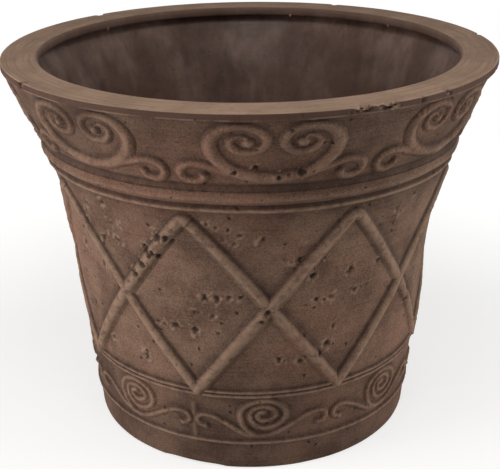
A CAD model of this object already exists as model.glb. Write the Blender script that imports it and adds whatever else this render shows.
import math

import bpy
import numpy as np
from mathutils import Matrix, Vector


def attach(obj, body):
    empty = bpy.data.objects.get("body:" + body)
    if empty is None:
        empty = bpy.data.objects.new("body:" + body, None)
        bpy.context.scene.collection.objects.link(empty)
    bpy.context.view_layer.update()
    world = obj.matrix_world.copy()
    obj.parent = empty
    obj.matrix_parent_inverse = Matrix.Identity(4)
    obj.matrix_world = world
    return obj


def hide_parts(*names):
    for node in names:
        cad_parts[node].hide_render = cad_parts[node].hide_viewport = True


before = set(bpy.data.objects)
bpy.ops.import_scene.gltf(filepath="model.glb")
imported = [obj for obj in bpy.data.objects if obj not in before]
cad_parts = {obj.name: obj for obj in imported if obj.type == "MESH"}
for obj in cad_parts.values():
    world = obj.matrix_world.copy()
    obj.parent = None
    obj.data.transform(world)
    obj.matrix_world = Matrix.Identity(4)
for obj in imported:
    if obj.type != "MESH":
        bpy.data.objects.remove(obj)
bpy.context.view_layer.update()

mm = 0.001
print("frame loaded:", len(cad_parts), "nodes")

# Outer wall of the pot, up to the ledge under the lip; a swell has a height and a cell
wall = {
    "footRadius": 113.5 * mm, "taper": 5.2, "bend": 128 * mm, "neckFoot": 194 * mm, "neckSlope": 17.2,
    "bandFoot": 213 * mm, "bandSlope": 23.2, "bandTop": 257 * mm, "motifs": 8,
    "swells": ((0.3 * mm, 48 * mm), (0.16 * mm, 11 * mm), (0.07 * mm, (70 * mm, 70 * mm, 3.2 * mm))),
    "seamAzimuth": -24.3, "seamLow": 24 * mm, "seamHigh": 51 * mm, "seamRise": 0.8 * mm, "seamHalf": 1.4 * mm,
}
taper, neckSlope, bandSlope = (math.radians(wall[key]) for key in ("taper", "neckSlope", "bandSlope"))
flareRadius = (wall["neckFoot"] - wall["bend"]) / (math.sin(neckSlope) - math.sin(taper))
bendRadius = wall["footRadius"] + wall["bend"] * math.tan(taper)
flareCentre = (bendRadius + flareRadius * math.cos(taper), wall["bend"] - flareRadius * math.sin(taper))
neckRadius = flareCentre[0] - flareRadius * math.cos(neckSlope)
bandRadius = neckRadius + (wall["bandFoot"] - wall["neckFoot"]) * math.tan(neckSlope)
motifTurn = 2 * math.pi / wall["motifs"]


# Value for a height's stretch of the wall: straight taper, tangent flare arc, neck, band
def byStretch(height, straight, arc, neck, band):
    below = [height < wall[key] for key in ("bend", "neckFoot", "bandFoot")]
    return np.select(below, [straight, arc, neck], band)


# Radius of the wall at a height
def wallRadius(height):
    straight = wall["footRadius"] + height * math.tan(taper)
    arc = flareCentre[0] - np.sqrt(flareRadius ** 2 - (height - flareCentre[1]) ** 2)
    neck = neckRadius + (height - wall["neckFoot"]) * math.tan(neckSlope)
    band = bandRadius + (height - wall["bandFoot"]) * math.tan(bandSlope)
    return byStretch(height, straight, arc, neck, band)


# Outward lean of the wall at a height, as an angle from upright
def wallLean(height):
    return byStretch(height, taper, np.arcsin((height - flareCentre[1]) / flareRadius), neckSlope, bandSlope)


# Point at a radius, an azimuth (0 is the front, -Y) and a height
def polar(radius, azimuth, height):
    return np.stack([radius * np.sin(azimuth), -radius * np.cos(azimuth), height], -1)


# Point on the wall, moved out along the wall's normal
def onWall(azimuth, height, out=0.0):
    lean = wallLean(height)
    return polar(wallRadius(height) + out * np.cos(lean), azimuth, height - out * np.sin(lean))


# Value noise from -1 to 1: hashed values on a lattice, blended smoothly inside each cell
def lumps(points, cell, seed):
    hashAxes, hashScale, seedShift = np.array([12.9898, 78.233, 37.719]), 43758.5453, 13.7
    scaled = points / np.asarray(cell) + seedShift * seed
    corner = np.floor(scaled)
    part = scaled - corner
    part = part * part * (3 - 2 * part)
    total = np.zeros(points.shape[:-1])
    for step in np.ndindex(2, 2, 2):
        hashed = np.abs(np.sin((corner + step) @ hashAxes + seed) * hashScale)
        total += (hashed - np.floor(hashed)) * np.prod(np.where(step, part, 1 - part), -1)
    return 2 * total - 1


# Angle from one azimuth to another, the short way round
def turnBetween(azimuth, other):
    return (azimuth - other + np.pi) % (2 * np.pi) - np.pi


# Azimuths evenly round the pot
def roundTurn(columns):
    return np.linspace(-np.pi, np.pi, columns, endpoint=False)


# Indices in batches, to keep tables small
def batches(count, size):
    return np.array_split(np.arange(count), max(1, count // size))


# Mould seam: a narrow upright bell on the base band
def seamShare(azimuth, height, aside=0.0):
    away = turnBetween(azimuth, math.radians(wall["seamAzimuth"])) * wallRadius(height) - aside
    return np.exp(-(away / wall["seamHalf"]) ** 2) * (height > wall["seamLow"]) * (height < wall["seamHigh"])


# Unevenness of the wall along its normal: broad swells, small lumps, turning ridges, the seam
def wallSwell(azimuth, height):
    at = onWall(azimuth, height)
    swells = (tall * lumps(at, cell, seed) for seed, (tall, cell) in enumerate(wall["swells"], start=1))
    return sum(swells) + wall["seamRise"] * seamShare(azimuth, height)


# Pits, picked by eye: azimuth in degrees, height, radius, depth in millimetres; a lump's depth is below zero.
# Those on the back are scattered.
pits = {
    "seen": [
        (-18.5, 132, 2.6, 1.5), (-17, 131.5, 1.5, 1), (-15, 132.5, 2.2, 1.4), (-11.5, 133, 1.7, 1),
        (-8, 133, 2, 1.2), (-22, 120.5, 1.9, 1.2), (-21, 120, 1.4, 0.8), (-16.5, 118.5, 1.8, 1),
        (-34, 108.5, 1.6, 0.9), (-32, 108, 1.3, 0.8), (-28, 108.5, 2.6, 1.6), (-26.5, 107.5, 1.6, 1),
        (-22, 107.5, 2.5, 1.6), (-15, 106.5, 1.7, 1), (-40, 78, 2.8, 2), (-40.5, 80.5, 1.8, 1.2),
        (-54.5, 137.5, 2.2, 1.1), (-69, 135.5, 2, 1), (-45, 162, 2.2, 1.2), (-47.5, 187.5, 2.2, 1.4),
        (-57, 177.5, 2.4, 1.3), (-48, 176.5, 2.4, -1.6), (-43, 176, 2.9, -2), (-46, 173.5, 1.6, 1),
        (5.5, 157.5, 4.2, -1), (8, 159, 1.6, 1), (3.5, 159.5, 1.5, 0.9), (6.5, 153, 1.6, 0.9),
        (-3.5, 173, 3.4, -0.9), (-2, 175.5, 1.3, 0.8), (9, 171.5, 3.6, -0.7), (24, 145.5, 2.4, 1.3),
        (23, 143.5, 1.7, 1), (26, 129.5, 1.9, 1.1), (24.5, 131, 1.4, 0.8), (13.5, 128.5, 1.9, 1.2),
        (18, 128.5, 1.9, 1), (16, 128, 1.3, 0.8), (13, 122.5, 1.4, 1), (19.5, 106.5, 1.8, 0.9),
        (17.5, 93.5, 2.8, 1.5), (11, 87, 1.6, 1), (3, 86.5, 1.9, 1.1), (4.5, 86, 1.4, 0.8),
        (9.5, 84, 2.2, 1.3), (12, 146, 2, 1.3), (34, 145.5, 2, 1), (43.5, 187.5, 1.9, 1.2),
        (39, 178.5, 3.2, -1.4), (37.5, 180.5, 1.7, 1.3), (15.5, 87.5, 2, 1.5), (18, 170, 1.5, 1.6),
        (15, 158.5, 1.6, 1.6), (-39.5, 142, 2.2, 2), (-36.5, 151, 2.2, 2.2), (-32.5, 160.5, 2.4, 2.4),
        (-31, 159.5, 2, 2), (-34.5, 162, 2, 1.8), (-35.5, 163.5, 2.2, -1.6), (-33, 163.5, 2.4, -1.6),
        (-31, 162.5, 2, -1.5), (-30, 157.5, 1.8, -1.3), (-33.5, 158.5, 1.8, 1.6), (-30, 172.5, 2.6, 2.2),
        (-27.5, 174, 2.4, 1.9), (-29, 176.5, 2.2, -1.6), (-27, 176.5, 2, -1.6), (-30.5, 175, 2, -1.4),
        (-26, 171.5, 1.8, 1.6), (-28, 170, 1.9, -1.4), (6, 223, 2.2, 1.6), (1, 220, 2, 1.4),
        (-4, 225.5, 2, 1.3), (-8.5, 224, 1.8, 1.1), (-2.5, 117, 2, 1.3), (-0.5, 124, 2.2, 1.5),
        (-16.5, 185, 1.6, 0.8), (-14, 183, 1.5, 0.8), (-11, 181.5, 1.8, 0.9), (-8, 178, 1.7, 0.9),
        (-12.5, 174.5, 1.4, 0.7), (-9.5, 172, 1.5, 0.8),
    ],
    "rowStart": (31, 133.5, 1.1, 0.8), "rowEnd": (28, 122.5, 1, 0.6), "rowCount": 6,
    "scattered": 160, "smallest": 1.1, "largest": 2.8, "mildest": 0.4, "deepest": 1.3, "seed": 7,
    "kinds": (1, 1, -0.7), "low": 66, "high": 190, "clearFront": 50,
    "ragged": ((0.45, 1.9 * mm, 5), (0.35, 4.5 * mm, 15)), "grain": (1.6 * mm, 6), "grainMore": 0.2,
    "crumb": 0.8, "ringAt": 1.25, "ringHalf": 0.5, "pale": 2.5,
}


def pitTable():
    dice = np.random.default_rng(pits["seed"])
    count = pits["scattered"]
    around = dice.uniform(pits["clearFront"], 360 - pits["clearFront"], count)
    level = dice.uniform(pits["low"], pits["high"], count)
    radius = dice.uniform(pits["smallest"], pits["largest"], count)
    deep = dice.uniform(pits["mildest"], 1, count) * dice.choice(pits["kinds"], count) * pits["deepest"]
    row = np.linspace(pits["rowStart"], pits["rowEnd"], pits["rowCount"])
    table = np.concatenate([pits["seen"], row, np.stack([around, level, radius, deep], -1)])
    return np.radians(table[:, 0]), *(table[:, 1:] * mm).T


pitAzimuth, pitHeight, pitRadius, pitDepth = pitTable()


# Depth of the pits and rise of the crumbs: ragged bowls, broken rings of grains outside them, grainy lumps
def pitShape(azimuth, height):
    turn, level = azimuth.ravel(), height.ravel()
    at = onWall(turn, level)
    ragged = 1 + sum(share * lumps(at, cell, seed) for share, cell, seed in pits["ragged"])
    grains = np.clip(lumps(at, *pits["grain"]) + pits["grainMore"], 0, 1)
    depth, crumb = np.zeros(turn.shape), np.zeros(turn.shape)
    for part in batches(len(turn), 8000):
        across = turnBetween(turn[part, None], pitAzimuth) * wallRadius(level[part, None])
        away = np.hypot(across, level[part, None] - pitHeight) / pitRadius * ragged[part, None]
        bowl = 1 - np.clip(away, 0, 1) ** 2
        ring = np.exp(-((away - pits["ringAt"]) / pits["ringHalf"]) ** 2)
        depth[part] = (np.clip(pitDepth, 0, None) * bowl).max(1)
        crumb[part] = np.where(pitDepth > 0, pits["crumb"] * pitDepth * ring, -pitDepth * bowl).max(1)
    return depth.reshape(azimuth.shape), (crumb * grains).reshape(azimuth.shape)


# Faces of a grid of points, row by row; either way round may close on itself
def gridFaces(rows, columns, closeRows, closeColumns):
    row = np.arange(rows if closeRows else rows - 1)
    column = np.arange(columns if closeColumns else columns - 1)
    here, along = np.meshgrid(row, column, indexing="ij")
    onward, beside = (here + 1) % rows, (along + 1) % columns
    quads = np.stack([here * columns + along, here * columns + beside,
                      onward * columns + beside, onward * columns + along], -1)
    return quads.reshape(-1, 4)


# Caps on the first and the last row of a grid
def gridEnds(rows, columns):
    return range(columns - 1, -1, -1), range((rows - 1) * columns, rows * columns)


def addObject(name, data):
    made = bpy.data.objects.new(name, data)
    bpy.context.scene.collection.objects.link(made)
    return made


# Puts points, quads and end caps into a mesh that rides on a body and stands for its CAD node
def addPiece(name, points, quads, node, body, slot, material, caps=(), **marks):
    points = points.reshape(-1, 3)
    a, b, c, d = (points[quads[:, k]] for k in range(4))
    volume = np.einsum("ij,ij->", a, np.cross(b, c)) + np.einsum("ij,ij->", a, np.cross(c, d))
    way = -1 if volume < 0 else 1  # faces point outwards
    faces = quads[:, ::way].tolist() + [list(cap)[::way] for cap in caps]
    mesh = bpy.data.meshes.new(name)
    mesh.from_pydata(points.tolist(), [], faces)
    mesh.shade_smooth()
    for label, values in marks.items():
        layer = mesh.attributes.new(label, "FLOAT", "POINT")
        layer.data.foreach_set("value", np.ascontiguousarray(values, np.float32).ravel())
    mesh.materials.append(material)
    piece = addObject(name, mesh)
    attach(piece, body)
    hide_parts(node)


# Linear colour of sRGB levels
def tone(red, green, blue):
    parts = [value / 255 for value in (red, green, blue)]
    return tuple(p / 12.92 if p <= 0.04045 else ((p + 0.055) / 1.055) ** 2.4 for p in parts) + (1.0,)


def addNode(tree, kind, inputs=None, **settings):
    made = tree.nodes.new(kind)
    for key, value in settings.items():
        setattr(made, key, value)
    for key, value in (inputs or {}).items():
        if isinstance(value, bpy.types.NodeSocket):
            tree.links.new(value, made.inputs[key])
        else:
            made.inputs[key].default_value = value
    return made


def calc(tree, operation, *values):
    return addNode(tree, "ShaderNodeMath", dict(enumerate(values)), operation=operation).outputs[0]


def vectorCalc(tree, operation, *values):
    return addNode(tree, "ShaderNodeVectorMath", dict(enumerate(values)), operation=operation).outputs


def ramp(tree, value, low, high, start=0.0, end=1.0):
    inputs = {"Value": value, "From Min": low, "From Max": high, "To Min": start, "To Max": end}
    return addNode(tree, "ShaderNodeMapRange", inputs, interpolation_type="SMOOTHSTEP").outputs["Result"]


def mixColour(tree, factor, first, second):
    return addNode(tree, "ShaderNodeMix", {0: factor, 6: first, 7: second}, data_type="RGBA").outputs[2]


# Noise whose scale is a number, or a tuple that also stretches it
def noise(tree, vector, scale, detail, rough):
    if isinstance(scale, tuple):
        vector, scale = vectorCalc(tree, "MULTIPLY", vector, scale)[0], 1
    inputs = {"Vector": vector, "Scale": scale, "Detail": detail, "Roughness": rough}
    return addNode(tree, "ShaderNodeTexNoise", inputs).outputs[0]


def mark(tree, name):
    return addNode(tree, "ShaderNodeAttribute", attribute_name=name).outputs["Fac"]


# Group that reads a vector and some numbers and gives masks
def newGroup(name, outputs, numbers=()):
    tree = bpy.data.node_groups.new(name, "ShaderNodeTree")
    tree.interface.new_socket("Vector", in_out="INPUT", socket_type="NodeSocketVector")
    for way, labels in (("INPUT", numbers), ("OUTPUT", outputs)):
        for label in labels:
            tree.interface.new_socket(label, in_out=way, socket_type="NodeSocketFloat")
    return tree, addNode(tree, "NodeGroupInput").outputs, addNode(tree, "NodeGroupOutput").inputs


def useGroup(tree, group, at, **numbers):
    outputs = addNode(tree, "ShaderNodeGroup", {"Vector": at, **numbers}, node_tree=group).outputs
    return {output.name: output for output in outputs}


# Noises of the clay, as scale, detail and roughness; a scale of three numbers is a stretch
grain = {"Grit": (950, 3, 0.65), "Lump": (190, 4, 0.62), "Patch": (34, 4, 0.62), "Cloud": (9, 3, 0.55)}
strokes = {"Wide": ((16, 16, 420), 4, 0.7), "Fine": ((40, 40, 1100), 3, 0.6)}
stains = {"Smear": ((30, 30, 9), 5, 0.62), "Drips": ((110, 110, 8), 3, 0.5)}
ringMarks = {"perMetre": 1000, "drift": (20, 20, 0), "noise": (1, 4, 0.65)}
holeMarks = {"Scale": 210, "Amount": 0.07, "bendNoise": (520, 2), "bend": 2.8 * mm, "full": 0.14, "rim": 0.3}


def makeGrit():
    tree, given, out = newGroup("clayGrit", grain)
    for label, look in grain.items():
        tree.links.new(noise(tree, given["Vector"], *look), out[label])
    return tree


def makeTurning():
    tree, given, out = newGroup("turningLines", ["Lines"])
    wide, fine = (noise(tree, given["Vector"], *look) for look in strokes.values())
    tree.links.new(calc(tree, "MULTIPLY", calc(tree, "ADD", wide, fine), 0.5), out["Lines"])
    return tree


# Pinholes: some cells of a broken pattern hold a small ragged hole
def makePinholes():
    tree, given, out = newGroup("pinholes", ["Holes"], ["Scale", "Amount"])
    scale, detail = holeMarks["bendNoise"]
    bend = addNode(tree, "ShaderNodeTexNoise", {"Vector": given["Vector"], "Scale": scale, "Detail": detail})
    moved = vectorCalc(tree, "MULTIPLY", bend.outputs[1], (holeMarks["bend"],) * 3)[0]
    moved = vectorCalc(tree, "ADD", moved, given["Vector"])[0]
    cells = addNode(tree, "ShaderNodeTexVoronoi", {"Vector": moved, "Scale": given["Scale"]})
    red = addNode(tree, "ShaderNodeSeparateColor", {0: cells.outputs["Color"]}).outputs[0]
    chosen = calc(tree, "LESS_THAN", red, given["Amount"])
    hole = ramp(tree, cells.outputs["Distance"], holeMarks["full"], holeMarks["rim"], 1, 0)
    tree.links.new(calc(tree, "MULTIPLY", hole, chosen), out["Holes"])
    return tree


# Rings round the axis, as a tool leaves them on a flat turned face
def makeFaceRings():
    tree, given, out = newGroup("faceRings", ["Rings"])
    level = vectorCalc(tree, "MULTIPLY", given["Vector"], (1, 1, 0))[0]
    radius = calc(tree, "MULTIPLY", vectorCalc(tree, "LENGTH", level)["Value"], ringMarks["perMetre"])
    ringed = addNode(tree, "ShaderNodeCombineXYZ", {2: radius}).outputs[0]
    drift = vectorCalc(tree, "MULTIPLY", given["Vector"], ringMarks["drift"])[0]
    drift = vectorCalc(tree, "ADD", drift, ringed)[0]
    tree.links.new(noise(tree, drift, *ringMarks["noise"]), out["Rings"])
    return tree


grit, turning, pinholes, faceRings = makeGrit(), makeTurning(), makePinholes(), makeFaceRings()

# Colours of the clay; layers as mask, low and high level, share at each, colour; bumps as shares of height
clayLook = {
    "deep": (88, 67, 56), "light": (115, 92, 78), "red": (126, 92, 77), "crevice": (40, 29, 25),
    "crown": (138, 115, 98), "lip": (174, 145, 124), "lipDark": (136, 112, 95), "fascia": (72, 53, 46),
    "inside": (107, 83, 74), "smear": (140, 116, 107),
    "bump": 0.5 * mm, "bumps": {"Grit": 0.5, "Lump": 0.8, "Lines": 0.7, "Holes": -1.4}, "specular": 0.12,
    "ground": (("Patch", 0.36, 0.64, 0, 1, "light"), ("Cloud", 0.45, 0.7, 0, 0.6, "red"),
               ("Lines", 0.5, 0.66, 0, 0.6, "light"), ("Lines", 0.34, 0.48, 0.25, 0, "crevice"),
               ("Grit", 0.36, 0.54, 0.4, 0, "crevice"), ("Grit", 0.54, 0.72, 0, 0.35, "crown"),
               ("Lump", 0.34, 0.5, 0.14, 0, "crevice")),
    "bands": (("Cloud", 0.3, 0.7, 0.42, 0.2, "crevice"),),
    "stained": (("Smear", 0.42, 0.66, 0, 0.75, "smear"), ("Drips", 0.36, 0.52, 0.18, 0, "crevice"),
                ("Patch", 0.34, 0.6, 0.35, 0, "crevice")),
    "turned": (("Rings", 0.36, 0.6, 0.7, 0, "lipDark"), ("Patch", 0.4, 0.62, 0, 0.5, "lipDark"),
               ("Lump", 0.32, 0.46, 0.4, 0, "light")),
}


def clayTone(key):
    return tone(*clayLook[key])


def tint(tree, colour, mask, key, share=1.0):
    return mixColour(tree, calc(tree, "MULTIPLY", mask, share), colour, clayTone(key))


def addLayers(tree, colour, masks, kind):
    for mask, low, high, start, end, key in clayLook[kind]:
        colour = mixColour(tree, ramp(tree, masks[mask], low, high, start, end), colour, clayTone(key))
    return colour


# Colour and bump height that all the clay shares: patches, brush lines, grit and pinholes
def clayGround(tree, at):
    masks = {**useGroup(tree, grit, at), **useGroup(tree, turning, at)}
    masks.update(useGroup(tree, pinholes, at, Scale=holeMarks["Scale"], Amount=holeMarks["Amount"]))
    colour = addLayers(tree, clayTone("deep"), masks, "ground")
    colour = tint(tree, colour, masks["Holes"], "crevice", 0.8)
    height = 0.0
    for key, share in clayLook["bumps"].items():
        height = calc(tree, "MULTIPLY_ADD", masks[key], share, height)
    return colour, height, masks


# Dark wash that gathers at the feet of the relief, broken up by the lumps of the clay
def addWash(tree, colour, masks):
    patchy = calc(tree, "MULTIPLY", mark(tree, "foot"), ramp(tree, masks["Lump"], 0.34, 0.6, 1.0, 0.7))
    return tint(tree, colour, patchy, "crevice", 0.9)


def newMaterial(name):
    material = bpy.data.materials.new(name)
    material.use_nodes = True
    tree = material.node_tree
    at = addNode(tree, "ShaderNodeTexCoord").outputs["Object"]
    return material, tree, tree.nodes["Principled BSDF"], at


def finishShader(tree, shader, colour, rough, height, distance):
    bump = addNode(tree, "ShaderNodeBump", {"Height": height, "Distance": distance, "Strength": 1.0})
    for key, socket in (("Base Color", colour), ("Roughness", rough), ("Normal", bump.outputs[0])):
        tree.links.new(socket, shader.inputs[key])


def finishClay(tree, shader, colour, height, masks, gloss=0.0):
    rough = calc(tree, "SUBTRACT", ramp(tree, masks["Lump"], 0.3, 0.7, 0.74, 0.94), gloss)
    finishShader(tree, shader, colour, rough, height, clayLook["bump"])
    shader.inputs["Specular IOR Level"].default_value = clayLook["specular"]


# Clay of the raised lines: dry-brushed crowns, dark wash along their feet
def makeReliefClay():
    material, tree, shader, at = newMaterial("clayRelief")
    colour, height, masks = clayGround(tree, at)
    worn = calc(tree, "MULTIPLY", ramp(tree, mark(tree, "lift"), 0.35, 0.95),
                ramp(tree, masks["Lump"], 0.36, 0.58, 0.25, 1))
    colour = addWash(tree, tint(tree, colour, worn, "crown", 0.62), masks)
    colour = tint(tree, colour, mark(tree, "pit"), "crevice", 0.85)
    finishClay(tree, shader, colour, height, masks)
    return material


# Clay of the wall: dark wash at the feet of the relief and in the pits, pale grains beside them
def makeWallClay():
    material, tree, shader, at = newMaterial("clayWall")
    colour, height, masks = clayGround(tree, at)
    colour = tint(tree, addWash(tree, colour, masks), mark(tree, "pit"), "crevice", 0.75)
    colour = tint(tree, colour, mark(tree, "crumb"), "crown", 0.6)
    finishClay(tree, shader, colour, height, masks)
    return material


# Clay of the shell and rim: dark bands, a dark fascia, a pale turned lip and a smeared dark inside
def makeShellClay():
    material, tree, shader, at = newMaterial("clayShell")
    colour, height, masks = clayGround(tree, at)
    masks.update(useGroup(tree, faceRings, at))
    masks.update({key: noise(tree, at, *look) for key, look in stains.items()})
    inside, lip = mark(tree, "inside"), mark(tree, "lip")
    colour = addLayers(tree, colour, masks, "bands")
    colour = tint(tree, colour, mark(tree, "fascia"), "fascia", 0.85)
    broken = ramp(tree, masks["Patch"], 0.4, 0.62, 0, 0.4)
    colour = tint(tree, colour, mark(tree, "ledge"), "crown", broken)
    colour = mixColour(tree, inside, colour, addLayers(tree, clayTone("inside"), masks, "stained"))
    colour = addWash(tree, colour, masks)
    colour = mixColour(tree, lip, colour, addLayers(tree, clayTone("lip"), masks, "turned"))
    colour = tint(tree, colour, mark(tree, "pit"), "crevice", 0.85)
    colour = tint(tree, colour, mark(tree, "crumb"), "crown", 0.6)
    smooth = calc(tree, "MULTIPLY", calc(tree, "MAXIMUM", lip, inside), 0.65)
    height = calc(tree, "MULTIPLY", height, calc(tree, "SUBTRACT", 1.0, smooth))
    height = calc(tree, "MULTIPLY_ADD", calc(tree, "MULTIPLY", masks["Rings"], lip), 0.8, height)
    finishClay(tree, shader, colour, height, masks, calc(tree, "MULTIPLY", inside, 0.5))
    return material


clayRelief, clayWall, clayShell = makeReliefClay(), makeWallClay(), makeShellClay()
print("clay mixed")


# Line of a relief, drawn flat: quarter ellipses between its outermost points, level and upright in turn
def quarterTurns(corners, steps=40):
    turn = np.linspace(0, np.pi / 2, steps)
    stretches = []
    for index, ((x0, y0), (x1, y1)) in enumerate(zip(corners[:-1], corners[1:])):
        level = np.stack([x0 + (x1 - x0) * np.sin(turn), y1 + (y0 - y1) * np.cos(turn)], -1)
        upright = np.stack([x1 + (x0 - x1) * np.cos(turn), y0 + (y1 - y0) * np.sin(turn)], -1)
        stretches.append(upright if index % 2 else level)
    return np.concatenate(stretches)


# Wave that leaves its start level and reaches its end level
def easedLine(start, end, steps=60):
    share = np.linspace(0, 1, steps)
    return np.stack([start[0] + (end[0] - start[0]) * share,
                     start[1] + (end[1] - start[1]) * (0.5 - 0.5 * np.cos(np.pi * share))], -1)


# Points at even steps along a line
def evenly(line, step):
    run = np.concatenate([[0], np.cumsum(np.hypot(*np.diff(line, axis=0).T))])
    keep = np.concatenate([[True], np.diff(run) > 1e-9])
    at = np.linspace(0, run[-1], int(run[-1] / step) + 2)
    return np.stack([np.interp(at, run[keep], line[keep, axis]) for axis in (0, 1)], -1)


# Shared by all relief: skin over the wall, sunk bed, shares of height and half width, margin in millimetres
relief = {"skin": 0.04 * mm, "bed": 1.6 * mm, "ceiling": 1.12, "pitFrom": 0.15, "footAt": 0.9, "margin": 1.1,
          "far": 99.0}


# Section of a raised line: half a cosine wave over its width
def crownAt(away):
    return np.cos(np.pi / 2 * np.clip(np.abs(away), 0, 1))


# Dark wash at a foot: strongest on the line where relief and wall meet, more on its upper side
def footWash(gap, upness):
    broad = 1.1 + 1.3 * np.clip(upness, 0, 1)
    beside, over = np.exp(-np.clip(gap, 0, None) / broad), np.exp(-(gap / (0.45 * broad)) ** 2)
    return np.where(gap > 0, beside, over) * (0.6 + 0.4 * upness)


# Roughness of worn relief, in millimetres: two sizes of lumps, and fine ones in crumbly patches
def wornRise(at, look, seed):
    (small, smallCell), (broad, broadCell), (fine, fineCell), (patchCell, patchMore) = look["worn"]
    crumbly = np.clip(lumps(at, patchCell * mm, seed + 2) + patchMore, 0, 1)
    rough = small * lumps(at, smallCell * mm, seed) + broad * lumps(at, broadCell * mm, seed + 1)
    return rough + fine * crumbly * lumps(at, fineCell * mm, seed + 3)


# Joins a face and its bed; marks are zero on the bed
def withBed(face, bed, marks, axis):
    blank = np.zeros(bed.shape[:2])
    marks = {key: np.concatenate([value, blank], axis) for key, value in marks.items()}
    return np.concatenate([face, bed], axis), marks


# Face of a relief with its pits and crumbs, how far out its bed lies, and the marks that colour it
def reliefFace(azimuth, height, rise, share, wash, shine):
    swell = wallSwell(azimuth, height)
    depth, crumb = pitShape(azimuth, height)
    shows = share > relief["pitFrom"]
    face = onWall(azimuth, height, swell + rise + relief["skin"] + (crumb - depth) * shows)
    marks = {"lift": np.broadcast_to(shine * share, height.shape), "foot": wash,
             "pit": np.clip(depth / mm, 0, 1) * shows}
    return face, swell - relief["bed"], marks


# Relief over its field, in millimetres: a bell across each line, lines that meet run together. Gives the rise,
# the gap to the nearest foot and the way that foot faces.
def reliefShape(field, lines):
    total, gap, upness = np.zeros(len(field)), np.full(len(field), relief["far"]), np.zeros(len(field))
    for path, half, tall in lines:
        half, tall = (np.broadcast_to(value, len(path)) for value in (half, tall))
        for part in batches(len(field), 3000):
            aside = field[part, None, :] - path
            away = np.hypot(aside[..., 0], aside[..., 1])
            total[part] += (tall * crownAt(away / half)).max(1) ** 4
            gaps = away - relief["footAt"] * half
            nearest = gaps.argmin(1)[:, None]
            best = np.take_along_axis(gaps, nearest, 1)[:, 0]
            up = np.take_along_axis(aside[..., 1] / (away + 1e-6), nearest, 1)[:, 0]
            closer = best < gap[part]
            gap[part] = np.where(closer, best, gap[part])
            upness[part] = np.where(closer, up, upness[part])
    return total ** 0.25, gap, upness


# Relief piece: the cells of a grid on the wall that stand proud, with a thin margin, closed by a sunk bed
def reliefPiece(node, azimuth, height, field, lines, look, seed):
    rows, columns = height.shape
    count = rows * columns
    shape = reliefShape(field.reshape(-1, 2), lines)
    rise, gap, upness = (part.reshape(height.shape) for part in shape)
    share = np.clip(rise / look["tallest"], 0, 1)
    rise = rise + wornRise(onWall(azimuth, height), look, seed) * np.clip(share * 3, 0, 1)
    rise = np.clip(rise, 0, look["tallest"] * relief["ceiling"]) * mm
    face, sunk, marks = reliefFace(azimuth, height, rise, share, footWash(gap, upness), look["shine"])
    proud = gap < relief["margin"]
    cells = proud[:-1, :-1] & proud[1:, :-1] & proud[:-1, 1:] & proud[1:, 1:]
    index = np.arange(count).reshape(rows, columns)
    a, b, c, d = index[:-1, :-1], index[:-1, 1:], index[1:, 1:], index[1:, :-1]
    quads = [np.stack([a, b, c, d], -1)[cells], np.stack([d, c, b, a], -1)[cells] + count]
    filled = np.pad(cells, 1)
    for first, second, beside in ((a, b, filled[:-2, 1:-1]), (b, c, filled[1:-1, 2:]),
                                  (c, d, filled[2:, 1:-1]), (d, a, filled[1:-1, :-2])):
        edge = cells & ~beside
        quads.append(np.stack([second[edge], first[edge], first[edge] + count, second[edge] + count], -1))
    used, quads = np.unique(np.concatenate(quads), return_inverse=True)
    points, marks = withBed(face, onWall(azimuth, height, sunk), marks, 0)
    points = points.reshape(-1, 3)[used]
    marks = {key: value.ravel()[used] for key, value in marks.items()}
    addPiece(f"{node}_clay", points, quads.reshape(-1, 4), node, "pot", "clay_relief", clayRelief, **marks)


# Rim scrolls: two volutes on one heart-shaped line, with a curl on each side; drawn in millimetres
rimScroll = {
    "drawnHalf": 54, "sideGap": 4.4, "meanRadius": 153.53, "grid": 0.62, "step": 0.6, "fieldTall": 47,
    "low": wall["bandFoot"], "lean": bandSlope, "turn": 0.0, "seed": 300,
    "volute": [(0, 6), (35, 28), (18.4, 40.8), (4.8, 31.8), (13.4, 23.8), (24, 30), (18.6, 34.4),
               (14.6, 30.4)],
    "curlStart": (20, 9.6), "curl": [(44, 15.4), (53.4, 9), (46.4, 3.2), (39.6, 6.8)],
    "stations": (0, 0.34, 0.54, 0.86, 0.96),
    "stationHalf": (4.8, 4.8, 2.9, 2.9, 1.3), "stationTall": (2.3, 2.3, 1.75, 1.75, 0.4),
    "eyeHalf": 3.7, "eyeTall": 2.5, "curlHalf": 3.3, "curlTall": 1.9, "tallest": 2.3, "wobble": 0.45,
    "worn": ((0.12, 2.6), (0.16, 6), (0.5, 1.4), (9, 0.35)), "shine": 0.68,
}
# Base scrolls: one spiral rising from a line that ends in a curl on each side
baseScroll = {
    "drawnHalf": 43, "sideGap": 3.3, "meanRadius": 117.2, "grid": 0.55, "step": 0.5, "fieldTall": 36.5,
    "low": 22 * mm, "lean": taper, "turn": math.radians(-2), "seed": 400,
    "volute": [(0, 5.9), (-14.6, 22.6), (0, 33.7), (15.1, 23.1), (1.2, 12.4), (-8.3, 23), (0.7, 29.3),
               (8.5, 22.7), (0.5, 18.2), (-3.6, 22.2), (0.2, 25.2)],
    "curl": [(38.2, 11.9), (43.6, 16.3), (37.5, 20.9)], "tailStart": (4.5, 6.4),
    "half": 2.4, "tall": 1.45, "eyeHalf": 2.7, "eyeTall": 1.5, "endHalf": 2.6, "endTall": 1.45,
    "tallest": 1.45, "wobble": 0.35, "worn": rimScroll["worn"], "shine": 0.68,
}
mirror = np.array([-1, 1])


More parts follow.
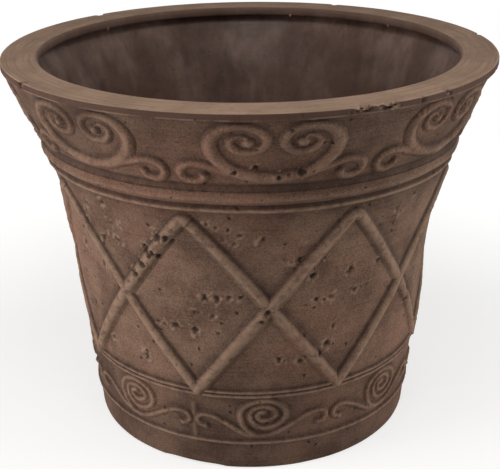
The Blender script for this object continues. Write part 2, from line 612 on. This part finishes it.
# Stretches a drawing to its motif's share of the turn and to the slope of the wall
def scrollSpread(look):
    halfTurn = motifTurn / 2 - look["sideGap"] / look["meanRadius"]
    return np.array([halfTurn * look["meanRadius"] / look["drawnHalf"], 1 / math.cos(look["lean"])])


# The arm thins to the whorl, and then to the stem of the eye
def rimLines():
    look, spread = rimScroll, scrollSpread(rimScroll)
    half = evenly(quarterTurns(look["volute"]) * spread, look["step"])
    curl = np.concatenate([easedLine(look["curlStart"], look["curl"][0]), quarterTurns(look["curl"])])
    curl = evenly(curl * spread, look["step"])
    share = np.linspace(0, 1, len(half))
    wide, tall = (np.interp(share, look["stations"], look[key]) for key in ("stationHalf", "stationTall"))
    lines = []
    for side in (np.ones(2), mirror):
        lines.append((half * side, wide, tall))
        lines.append((curl * side, look["curlHalf"], look["curlTall"]))
        lines.append((curl[-1:] * side, look["curlHalf"], look["curlTall"]))
        lines.append((half[-1:] * side, look["eyeHalf"], look["eyeTall"]))
    return lines


def baseLines():
    look, spread = baseScroll, scrollSpread(baseScroll)
    winding, curl = quarterTurns(look["volute"]), quarterTurns(look["curl"])
    main = np.concatenate([curl, easedLine(curl[-1], winding[0]), winding])
    tail = np.concatenate([curl, easedLine(curl[-1], look["tailStart"])]) * mirror
    main, tail = (evenly(line * spread, look["step"]) for line in (main, tail))
    lines = [(line, look["half"], look["tall"]) for line in (main, tail)]
    lines.append((main[-1:], look["eyeHalf"], look["eyeTall"]))
    return lines + [(line[:1], look["endHalf"], look["endTall"]) for line in (main, tail)]


scrolls = {"rim_scroll": (rimScroll, rimLines()), "base_scroll": (baseScroll, baseLines())}


# Lays one scroll per motif on a grid over its field, each with its own slight wobble
def buildScrolls(label, look, lines):
    reach, margin, wobbleCell = motifTurn / 2 * look["meanRadius"] - 0.3, 0.9, 14 * mm
    up, across = np.meshgrid(np.arange(margin, look["fieldTall"], look["grid"]),
                             np.arange(-reach, reach, look["grid"]), indexing="ij")
    height = look["low"] + up * math.cos(look["lean"]) * mm
    for number in range(wall["motifs"]):
        azimuth = across / look["meanRadius"] + motifTurn * number + look["turn"]
        at = onWall(azimuth, height)
        shift = np.stack([lumps(at, wobbleCell, look["seed"] + axis) for axis in (0, 1)], -1)
        field = np.stack([across, up], -1) + look["wobble"] * shift
        seed = look["seed"] + 10 + 4 * number
        reliefPiece(f"{label}_{number + 1}", azimuth, height, field, lines, look, seed)


# Ridges on the wall: wear, reach in half widths, columns for each one of the bed
ridge = {"worn": ((0.14, 2.8), (0.2, 8), (0.45, 1.5), (10, 0.15)), "reach": 1.12, "bedStep": 6}


# A section carried along a path of azimuth and height, closed by a bed sunk in the wall
def ridgeOnWall(node, azimuth, height, half, tall, seed, closed=False, columns=19, section=crownAt,
                shine=1.0):
    radius, lean = wallRadius(height), np.cos(wallLean(height))
    if closed:
        along = np.tile([1.0, 0.0], (len(azimuth), 1))
    else:
        along = np.stack([np.gradient(azimuth) * radius, np.gradient(height) / lean], -1)
        along /= np.linalg.norm(along, axis=-1, keepdims=True)
    across = np.linspace(-ridge["reach"], ridge["reach"], columns)
    turn = azimuth[:, None] - along[:, 1:] * half * across / radius[:, None]
    level = height[:, None] + along[:, :1] * half * across * lean[:, None]
    share = section(across)
    rise = tall * share + wornRise(onWall(turn, level), ridge, seed) * mm * share
    rise = np.clip(rise, 0, tall * relief["ceiling"])
    upward = np.sign(across) * np.sign(along[:, :1])
    wash = footWash((np.abs(across) - relief["footAt"]) * half / mm, upward)
    face, sunk, marks = reliefFace(turn, level, rise, share, wash, shine)
    bed = onWall(turn, level, sunk)[:, ::ridge["bedStep"]][:, ::-1]
    points, marks = withBed(face, bed, marks, 1)
    rows, width = points.shape[:2]
    addPiece(f"{node}_clay", points, gridFaces(rows, width, closed, True), node, "pot", "clay_relief",
             clayRelief, () if closed else gridEnds(rows, width), **marks)


# Lattice: one unbroken cord per motif, crossed by two half cords that butt against it
lattice = {
    "low": 62.2 * mm, "high": 189.4 * mm, "apexDrop": 2.4 * mm, "apexReach": 6 * mm, "longHalf": 5.5 * mm,
    "longTall": 2.8 * mm, "shortHalf": 5.0 * mm, "shortTall": 2.35 * mm, "footRun": 0.012, "apexRun": 0.03,
    "crossGap": 0.015, "steps": 150, "seed": 70, "kindSeed": 40,
}


# Height of a cord's line over its share of the field, rounded off where two cords meet at the top
def latticeHeight(share):
    below = np.abs(1 - share) * (lattice["high"] - lattice["low"])
    drop = lattice["apexDrop"] * np.clip(1 - below / lattice["apexReach"], 0, 1) ** 2
    return lattice["high"] - below - drop


def buildLattice():
    foot, apex, gap = -lattice["footRun"], 1 + lattice["apexRun"], lattice["crossGap"]
    kinds = (("lattice_cord", 1, foot, apex, "long"), ("lattice_lower_cord", -1, foot, 0.5 - gap, "short"),
             ("lattice_upper_cord", -1, 0.5 + gap, apex, "short"))
    for number in range(wall["motifs"]):
        for kind, (label, way, start, end, size) in enumerate(kinds):
            share = np.linspace(start, end, int(lattice["steps"] * (end - start)))
            azimuth = way * motifTurn * (share - 0.5) + motifTurn * number
            ridgeOnWall(f"{label}_{number + 1}", azimuth, latticeHeight(share), lattice[size + "Half"],
                        lattice[size + "Tall"], lattice["seed"] + lattice["kindSeed"] * kind + 4 * number)


# Section of the bead: a broad dome, and a fine line along its upper edge
def beadSection(across):
    dome, line = (0.5 + 0.5 * np.cos(np.pi * np.clip((across - middle) / half, -1, 1))
                  for middle, half in ((-0.16, 0.8), (0.84, 0.2)))
    return np.maximum(dome ** 0.6, 0.42 * line)


# Rings round the pot: bead and cord at the neck, three cords at the base; height, half width and relief
rings = {
    "neck_bead": (204.9 * mm, 4.9 * mm, 2.5 * mm), "neck_cord": (196.1 * mm, 2.3 * mm, 1.8 * mm),
    "base_cord_top": (62.2 * mm, 1.8 * mm, 1.2 * mm), "base_cord_middle": (59.0 * mm, 1.8 * mm, 1.2 * mm),
    "base_cord_low": (22.0 * mm, 1.9 * mm, 1.2 * mm),
}
# Columns of a ring's section, the section and its shine
ringSection, beadLook = (13, crownAt, 0.9), (31, beadSection, 0.6)
# Grooves pressed beside the rings: height, half width, depth; and the depth at which one is fully dark
grooves = ((212.6 * mm, 2.4 * mm, 0.7 * mm), (199.3 * mm, 1.5 * mm, 0.6 * mm),
           (192.6 * mm, 2.2 * mm, 0.25 * mm), (256.4 * mm, 1.0 * mm, 0.3 * mm))
grooveDark = 0.6 * mm


# Depth of the grooves at a height, and how dark they are there
def grooveAt(height):
    shares = [(deep, crownAt((height - level) / half)) for level, half, deep in grooves]
    depth = np.maximum.reduce([deep * share for deep, share in shares])
    return depth, np.maximum.reduce([min(deep / grooveDark, 1) * share for deep, share in shares])


def buildRings():
    turn, seed = roundTurn(720), 200
    for count, (label, (level, half, tall)) in enumerate(rings.items()):
        look = beadLook if label == "neck_bead" else ringSection
        ridgeOnWall(label, turn, np.full(turn.shape, level), half, tall, seed + 4 * count, True, *look)


# Shade under the neck cord: share and reach
neckShade = {"share": 0.95, "reach": 8 * mm}


# Dark wash on the wall: at the feet of the relief, by the way they face, in the grooves and under the neck
def nearRelief(azimuth, height):
    gap, upness = np.full(azimuth.shape, relief["far"]), np.zeros(azimuth.shape)

    def nearer(other, up):
        closer = other < gap
        gap[closer], upness[closer] = other[closer], up[closer]

    for look, lines in scrolls.values():
        across = ((azimuth - look["turn"] + motifTurn / 2) % motifTurn - motifTurn / 2) * look["meanRadius"]
        field = np.stack([across, (height - look["low"]) / mm / math.cos(look["lean"])], -1)
        inField = (field[..., 1] > -4) & (field[..., 1] < 50)
        if inField.any():
            other, up = np.full(gap.shape, relief["far"]), np.zeros(gap.shape)
            other[inField], up[inField] = reliefShape(field[inField], lines)[1:]
            nearer(other, up)
    rise = lattice["high"] - lattice["low"]
    share = (height - lattice["low"]) / rise
    across = (azimuth + motifTurn / 2) % motifTurn - motifTurn / 2
    inField = (share > -0.02) & (share < 0.99)
    steep = np.sin(np.arctan2(rise, motifTurn * wallRadius(height)))
    for way, half in ((1, lattice["longHalf"]), (-1, lattice["shortHalf"])):
        aside = (across - way * motifTurn * (share - 0.5)) * wallRadius(height) * steep
        beside = (np.abs(aside) - relief["footAt"] * half) / mm
        nearer(np.where(inField, beside, relief["far"]), -way * np.sign(aside))
    for level, half, tall in rings.values():
        nearer((np.abs(height - level) - relief["footAt"] * half) / mm, np.sign(height - level))
    below = rings["neck_cord"][0] - height
    shade = neckShade["share"] * np.exp(-np.clip(below, 0, None) / neckShade["reach"]) * (below > 0)
    return np.maximum.reduce([footWash(gap, upness), grooveAt(height)[1], shade])


# The same wash for each motif, worked out once
def washRound(azimuth, height):
    span = azimuth.shape[1] // wall["motifs"]
    return np.tile(nearRelief(azimuth[:, :span], height[:, :span]), (1, wall["motifs"]))


# Wall between the neck and the base rings: a fine grid of the outer face, closed by a bed inside the clay
wallFace = {"low": 61.6 * mm, "high": 196.6 * mm, "columns": 800, "rows": 113, "depth": 4 * mm, "bedStep": 14}


def buildWall():
    levels = np.linspace(wallFace["low"], wallFace["high"], wallFace["rows"])
    azimuth, height = np.meshgrid(roundTurn(wallFace["columns"]), levels)
    depth, crumb = pitShape(azimuth, height)
    face = onWall(azimuth, height, wallSwell(azimuth, height) - depth + crumb - grooveAt(height)[0])
    bed = onWall(azimuth, height, -wallFace["depth"])[::-wallFace["bedStep"]]
    marks = {"foot": washRound(azimuth, height), "pit": np.clip(depth / mm, 0, 1),
             "crumb": np.clip(pits["pale"] * crumb / mm, 0, 1)}
    points, marks = withBed(face, bed, marks, 0)
    quads = gridFaces(*points.shape[:2], True, True)
    addPiece("pot_wall", points, quads, "pot_body", "pot", "clay", clayWall, **marks)


# Shell (base, inside, floor, underside) and rim (neck, band, lip): profiles turned round the axis, that close
# inside the clay. The notch at the foot has its azimuth, half width, depth, height and reach inwards.
shell = {
    "columns": 520, "rowStep": 1.3 * mm, "footRound": 2 * mm, "thickness": 11 * mm, "floor": 16 * mm,
    "recess": 4 * mm, "floorRound": 12 * mm, "holeRadius": 12.5 * mm, "ringRadius": 99.5 * mm,
    "behindWall": 3 * mm, "behindBand": 6 * mm, "notch": (-26, 11, 1.5 * mm, 4.5 * mm, 6 * mm),
    "sink": 0.1 * mm, "sinkCell": 14 * mm, "footShade": 0.14, "seamShade": 0.6, "seamPale": 0.45,
    "seamAside": 2.4 * mm,
}
# A chip in the lip has its azimuth and half width in degrees and its depth in millimetres
rim = {
    "columns": 880, "radius": 166.0 * mm, "top": 262 * mm, "lipRadius": 141.1 * mm, "underLip": 255 * mm,
    "edge": 1.2 * mm, "innerEdge": 2.5 * mm, "ledgeWear": 0.35 * mm, "ledgeCell": 2.4 * mm,
    "chips": [(17.4, 1.5, 2.4), (15.6, 0.7, 1.4), (22.7, 1.3, 2.2), (24.4, 0.7, 1.3), (20.3, 0.5, 0.9),
              (38.7, 0.8, 1.2), (31, 0.5, 0.8), (-61, 0.9, 1.2), (96, 1.2, 1.8), (150, 0.9, 1.4),
              (-140, 1.1, 1.6)],
    "chipDown": 2.8 * mm, "chipInward": 3 * mm, "chipReach": 5 * mm, "chipRagged": (2.2 * mm, 9),
    "chipGrain": (1.7 * mm, 12), "underShade": 0.5, "underReach": 5 * mm,
}


def arcPoints(centre, radius, start, end, steps):
    turn = np.radians(np.linspace(start, end, steps))
    return np.stack([centre[0] + radius * np.cos(turn), centre[1] + radius * np.sin(turn)], -1)


def levelRow(start, end, height, steps):
    return np.stack([np.linspace(start, end, steps), np.full(steps, height)], -1)


def uprightRow(radius, start, end, steps):
    return levelRow(start, end, radius, steps)[:, ::-1]


# Rows along the wall, at a depth inside it
def wallRows(low, high, steps, depth=0.0):
    levels = np.linspace(low, high, steps)
    return np.stack([wallRadius(levels) - depth / np.cos(wallLean(levels)), levels], -1)


def fineRows(low, high):
    return wallRows(low, high, int((high - low) / shell["rowStep"]))


# What a row of a profile shows: its share of lip, inside, fascia and ledge, and whether it is the outer wall
plain, lipTop, within, fascia = (0, 0, 0, 0, 0), (1, 0, 0, 0, 0), (0, 1, 0, 0, 0), (0, 0, 1, 0, 0)
outside = (0, 0, 0, 0, 1)


# Stretches of the profiles; the small steps between them break the edges
def shellProfile():
    foot, hole, ring = shell["footRound"], shell["holeRadius"], shell["ringRadius"]
    floor, bend, recess = shell["floor"], shell["floorRound"], shell["recess"]
    inside = wallRows(rim["underLip"] - 0.7 * mm, floor + bend, 36, shell["thickness"])
    corner = arcPoints((inside[-1, 0] - bend, floor + bend), bend, -10, -88, 6)
    return [
        (levelRow(ring + 0.6 * mm, wall["footRadius"] - foot, 0, 4), plain),
        (arcPoints((wall["footRadius"] - foot * 0.93, foot), foot, -78, -12, 5), plain),
        (fineRows(foot + 0.6 * mm, wallFace["low"]), outside),
        (wallRows(wallFace["low"] + 1 * mm, wallFace["high"], 9, shell["behindWall"]), plain),
        (wallRows(wallFace["high"] + 4 * mm, rim["underLip"] - 1.5 * mm, 6, shell["behindBand"]), plain),
        (inside, within), (corner, within),
        (levelRow(corner[-1, 0] - 4 * mm, hole + 0.7 * mm, floor, 8), within),
        (uprightRow(hole, floor - 0.7 * mm, recess + 0.7 * mm, 4), within),
        (levelRow(hole + 0.7 * mm, ring - 0.4 * mm, recess, 6), plain),
        (uprightRow(ring, recess - 0.4 * mm, 0.5 * mm, 3), plain),
    ]


def rimProfile():
    outer, top, lip, under = rim["radius"], rim["top"], rim["lipRadius"], rim["underLip"]
    edge, bend, ledge = rim["edge"], rim["innerEdge"], wall["bandTop"]
    innerWall = wallRows(under, under, 1, shell["thickness"])[0, 0]
    return [
        (fineRows(wallFace["high"], ledge - 0.2 * mm), outside),
        (levelRow(outer - 2.6 * mm, outer - 1.3 * mm, ledge, 3), (0, 0, 0.5, 0.3, 0)),
        (arcPoints((outer - edge, ledge + edge), edge, -80, -5, 5), (0, 0, 0.2, 1, 0)),
        (uprightRow(outer, ledge + 1.6 * mm, top - 1.8 * mm, 4), fascia),
        (arcPoints((outer - edge, top - edge), edge, 8, 38, 3), fascia),
        (arcPoints((outer - edge, top - edge), edge, 50, 84, 3), lipTop),
        (levelRow(outer - 1.6 * mm, lip + 2.6 * mm, top, 16), lipTop),
        (arcPoints((lip + bend, top - bend), bend, 95, 112, 2), (0.8, 0, 0, 0, 0)),
        (arcPoints((lip + bend, top - bend), bend, 125, 180, 5), (0.1, 0.3, 0.7, 0, 0)),
        (arcPoints((lip + bend, under + bend), bend, 188, 268, 5), (0, 0.6, 0.5, 0, 0)),
        (levelRow(lip + 3.4 * mm, innerWall + 1 * mm, under, 4), within),
        (wallRows(under - 3 * mm, wallFace["high"] + 1 * mm, 6, shell["behindWall"]), plain),
    ]


# Chips broken from the lip's outer edge: depth of each at every point, ragged and deepest on the corner
def lipChips(at, azimuth, radius, height):
    depth = np.zeros(azimuth.shape)
    ragged = 1 + 0.7 * lumps(at, *rim["chipRagged"])
    down = (height - (rim["top"] - rim["edge"])) / rim["chipDown"]
    inward = np.clip(rim["radius"] - radius, 0, None) / rim["chipInward"]
    for place, half, deep in rim["chips"]:
        aside = turnBetween(azimuth, math.radians(place)) / math.radians(half)
        away = np.sqrt(aside ** 2 + down ** 2 + inward ** 2) * ragged
        depth = np.maximum(depth, deep * mm * np.clip(1.4 - away ** 2, 0, 1))
    return depth * (radius > rim["radius"] - rim["chipReach"]) * (height > wall["bandTop"])


# Depth shaved off the foot at the notch
def footNotch(azimuth, radius, height):
    place, half, deep, tall, reach = shell["notch"]
    aside = turnBetween(azimuth, math.radians(place)) / math.radians(half)
    shaved = np.clip(1.2 - aside ** 4, 0, 1) * np.clip(1 - height / tall, 0, 1)
    return deep * shaved * (radius > wall["footRadius"] - reach)


# Turns a profile round the axis; the wall's rows swell, pit and groove, the others only sink a little
def turnedPiece(name, profile, columns):
    rows = np.concatenate([points for points, show in profile])
    shows = np.concatenate([np.tile(show, (len(points), 1)) for points, show in profile])
    outer = shows[:, 4] > 0
    ahead = np.roll(rows, -1, 0) - np.roll(rows, 1, 0)
    ahead /= np.linalg.norm(ahead, axis=1, keepdims=True)
    azimuth, radius = np.meshgrid(roundTurn(columns), rows[:, 0])
    height = np.repeat(rows[:, 1:], columns, 1)
    at = polar(radius, azimuth, height)
    out = shell["sink"] * (lumps(at, shell["sinkCell"], 4) - 1)
    out -= rim["ledgeWear"] * np.clip(lumps(at, rim["ledgeCell"], 8), 0, 1) * (shows[:, 3:4] > 0.2)
    out[rows[:, 1] <= 0] = 0
    foot, pit, pale = (np.zeros(height.shape) for _ in range(3))
    turn, level = azimuth[outer], height[outer]
    depth, crumb = pitShape(turn, level)
    out[outer] = wallSwell(turn, level) - depth + crumb - grooveAt(level)[0]
    foot[outer] = washRound(turn, level) + shell["seamShade"] * seamShare(turn, level, shell["seamAside"])
    foot[outer] += shell["footShade"] * (level < rings["base_cord_low"][0])
    under = np.exp(-np.abs(rim["underLip"] - height) / rim["underReach"])
    foot += shows[:, 1:2] * rim["underShade"] * under
    pit[outer] = depth / mm
    pale[outer] = pits["pale"] * crumb / mm + shell["seamPale"] * seamShare(turn, level)
    chip = lipChips(at, azimuth, radius, height)
    broken = np.clip(lumps(at, *rim["chipGrain"]), -0.6, 1)
    out -= chip * (1 - 0.5 * broken)
    pit += 1.2 * chip / mm * (broken < 0.1)
    pale += chip / mm * (broken > 0.1)
    reach = radius + out * ahead[:, 1:] - footNotch(azimuth, radius, height)
    points = polar(reach, azimuth, np.clip(height - out * ahead[:, :1], 0, rim["top"]))
    marks = {"foot": foot, "pit": pit, "crumb": pale}
    marks = {key: np.clip(value, 0, 1) for key, value in marks.items()}
    for column, key in enumerate(("lip", "inside", "fascia", "ledge")):
        marks[key] = np.repeat(shows[:, column:column + 1], columns, 1)
    quads = gridFaces(*height.shape, True, True)
    addPiece(name, points, quads, "pot_body", "pot", "clay", clayShell, **marks)


turnedPiece("pot_shell", shellProfile(), shell["columns"])
turnedPiece("pot_rim", rimProfile(), rim["columns"])
buildWall()
print("shell, rim and wall turned")
buildRings()
print("rings laid")
buildLattice()
print("lattice laid")
for label, (look, lines) in scrolls.items():
    buildScrolls(label, look, lines)
print("scrolls laid")

# Nibs of clay left under the lip inside: small ragged balls, latitude by longitude, their poles cut off
nibs = {"places": (-135.75, 161.25, 126.25), "radius": 141.6 * mm, "height": 255.6 * mm, "size": 1.3 * mm,
        "rows": 9, "columns": 16, "pole": 0.15, "ragged": 0.25, "raggedCell": 1.4 * mm}


def buildNibs():
    shape = nibs["rows"], nibs["columns"]
    north = np.linspace(nibs["pole"], np.pi - nibs["pole"], shape[0])[:, None]
    east = np.linspace(0, 2 * np.pi, shape[1], endpoint=False)
    ball = np.stack([np.sin(north) * np.cos(east), np.sin(north) * np.sin(east),
                     np.repeat(np.cos(north), shape[1], 1)], -1) * nibs["size"]
    for number, place in enumerate(nibs["places"], start=1):
        ragged = 1 + nibs["ragged"] * lumps(ball, nibs["raggedCell"], number)
        points = ball * ragged[..., None] + polar(nibs["radius"], math.radians(place), nibs["height"])
        addPiece(f"lip_nib_{number}", points, gridFaces(*shape, False, True), "pot_body", "pot", "clay",
                 clayRelief, gridEnds(*shape), lift=np.ones(shape), foot=np.zeros(shape), pit=np.zeros(shape))


buildNibs()

# Drain plug: rubber stopper with a ribbed stem, a flange and a round grip; its profile in millimetres
plug = {
    "colour": (38, 37, 36), "dust": (86, 76, 68), "columns": 96, "bump": 0.12 * mm,
    "stem": [(0.4, 4.1), (8, 4.1), (11.2, 4.15), (11.75, 4.7), (11.85, 7), (12.05, 7.6), (11.95, 8.2),
             (12.05, 11), (12.1, 15.6)],
    "flange": [(12.4, 16.05), (17.6, 16.05), (18.6, 16.3), (18.95, 17.2), (18.9, 18.6), (18.3, 19.6),
               (16.8, 19.95), (15.2, 19.7), (14.4, 19.9), (8.2, 20.0)],
    "neck": [(6.6, 20.4), (5.9, 21.4), (5.6, 23), (5.8, 24.4)], "grip": ((4.4, 26.6), 2.1, -40, 80, 9),
    "top": [(2.4, 28.85), (0.4, 28.9)],
}


def makeRubber():
    material, tree, shader, at = newMaterial("plugRubber")
    masks = useGroup(tree, grit, at)
    dust = ramp(tree, masks["Lump"], 0.45, 0.75, 0, 0.45)
    colour = mixColour(tree, dust, tone(*plug["colour"]), tone(*plug["dust"]))
    rough = ramp(tree, masks["Lump"], 0.3, 0.7, 0.5, 0.75)
    finishShader(tree, shader, colour, rough, masks["Grit"], plug["bump"])
    return material


# Profile of the stopper turned about the pot's axis, its poles closed by small discs
def buildPlug():
    profile = np.concatenate([plug["stem"], plug["flange"], plug["neck"], arcPoints(*plug["grip"]),
                              plug["top"]]) * mm
    turn = np.linspace(0, 2 * np.pi, plug["columns"], endpoint=False)
    points = np.stack([profile[:, :1] * np.cos(turn), profile[:, :1] * np.sin(turn),
                       np.repeat(profile[:, 1:], len(turn), 1)], -1)
    rows, columns = points.shape[:2]
    addPiece("plug_stopper", points, gridFaces(rows, columns, False, True), "drain_plug", "plug",
             "plug_rubber", makeRubber(), gridEnds(rows, columns))


buildPlug()
print("nibs and plug made")

# Studio: white floor with a soft shadow, two low side softboxes, a weak one over the front. A lamp has its
# place, width, height, power and colour.
studio = {
    "floorSize": 8.0, "floorTone": (236, 236, 234), "floorRough": 0.9, "floorGlow": 1.0, "fill": 0.19,
    "shadowReach": (0.2, 0.75), "shadowShare": 0.45, "shadowGlow": 1.5, "aim": (0, 0, 0.13),
    "lamps": {
        "left_softbox": ((-1.45, -0.36, 0.24), 0.8, 0.4, 23.4, (1.0, 0.955, 0.92)),
        "right_softbox": ((1.45, -0.3, 0.24), 0.8, 0.4, 16.2, (1.0, 0.98, 0.93)),
        "front_softbox": ((-0.04, -0.32, 0.7), 0.3, 0.24, 1.3, (1.0, 0.97, 0.94)),
    },
}
white = (1, 1, 1, 1)


def buildFloor():
    half = studio["floorSize"] / 2
    corners = [(-half, -half, 0), (half, -half, 0), (half, half, 0), (-half, half, 0)]
    mesh = bpy.data.meshes.new("studio_floor")
    mesh.from_pydata(corners, [], [(0, 1, 2, 3)])
    material, tree, shader, at = newMaterial("paleFloor")
    shader.inputs["Base Color"].default_value = tone(*studio["floorTone"])
    shader.inputs["Roughness"].default_value = studio["floorRough"]
    away = vectorCalc(tree, "LENGTH", at)["Value"]
    strength = ramp(tree, away, *studio["shadowReach"], studio["shadowGlow"], 1.0)
    glow = addNode(tree, "ShaderNodeEmission", {"Color": white, "Strength": strength})
    share = ramp(tree, away, *studio["shadowReach"], studio["shadowShare"], studio["floorGlow"])
    seen = addNode(tree, "ShaderNodeLightPath").outputs["Is Camera Ray"]
    inputs = {0: calc(tree, "MULTIPLY", seen, share), 1: shader.outputs[0], 2: glow.outputs[0]}
    mixed = addNode(tree, "ShaderNodeMixShader", inputs).outputs[0]
    tree.links.new(mixed, tree.nodes["Material Output"].inputs["Surface"])
    mesh.materials.append(material)
    floor = addObject("studio_floor", mesh)


def addLamp(name, place, width, tall, power, colour):
    lamp = bpy.data.lights.new(name, "AREA")
    lamp.shape, lamp.size, lamp.size_y = "RECTANGLE", width, tall
    lamp.energy, lamp.color = power, colour
    holder = addObject(name, lamp)
    holder.location = place
    holder.rotation_euler = (Vector(studio["aim"]) - Vector(place)).to_track_quat("-Z", "Y").to_euler()


def buildWorld():
    world = bpy.data.worlds.new("studio")
    bpy.context.scene.world = world
    world.use_nodes = True
    tree = world.node_tree
    path = addNode(tree, "ShaderNodeLightPath").outputs
    seen = calc(tree, "MAXIMUM", path["Is Camera Ray"], path["Is Glossy Ray"])
    seen = calc(tree, "MAXIMUM", seen, path["Is Transmission Ray"])
    level = addNode(tree, "ShaderNodeMapRange", {"Value": seen, "To Min": studio["fill"], "To Max": 1.0})
    shade = tree.nodes["Background"]
    shade.inputs["Color"].default_value = white
    tree.links.new(level.outputs[0], shade.inputs["Strength"])


buildFloor()
buildWorld()
for label, look in studio["lamps"].items():
    addLamp(label, *look)

# Camera at the photograph's view: a little to the left of the first motif, looking down on the rim
view = {"azimuth": -5.2, "distance": 0.7161, "height": 0.4205, "tilt": 22.53, "yaw": -0.056, "roll": -0.547,
        "focal": 1064.96, "width": 500, "sensor": 36}


def buildCamera():
    azimuth, tilt, yaw, roll = (math.radians(view[key]) for key in ("azimuth", "tilt", "yaw", "roll"))
    turned = Matrix.Rotation(azimuth - yaw, 4, "Z") @ Matrix.Rotation(math.pi / 2 - tilt, 4, "X")
    turned = turned @ Matrix.Rotation(roll, 4, "Z")
    lens = bpy.data.cameras.new("photo_camera")
    lens.sensor_width = view["sensor"]
    lens.lens = view["focal"] / view["width"] * lens.sensor_width
    camera = addObject("photo_camera", lens)
    place = Matrix.Rotation(azimuth, 4, "Z") @ Vector((0, -view["distance"], view["height"]))
    camera.matrix_world = Matrix.Translation(place) @ turned
    bpy.context.scene.camera = camera


buildCamera()
bpy.context.scene.view_settings.view_transform = "Standard"
bpy.context.view_layer.update()
print("studio ready")
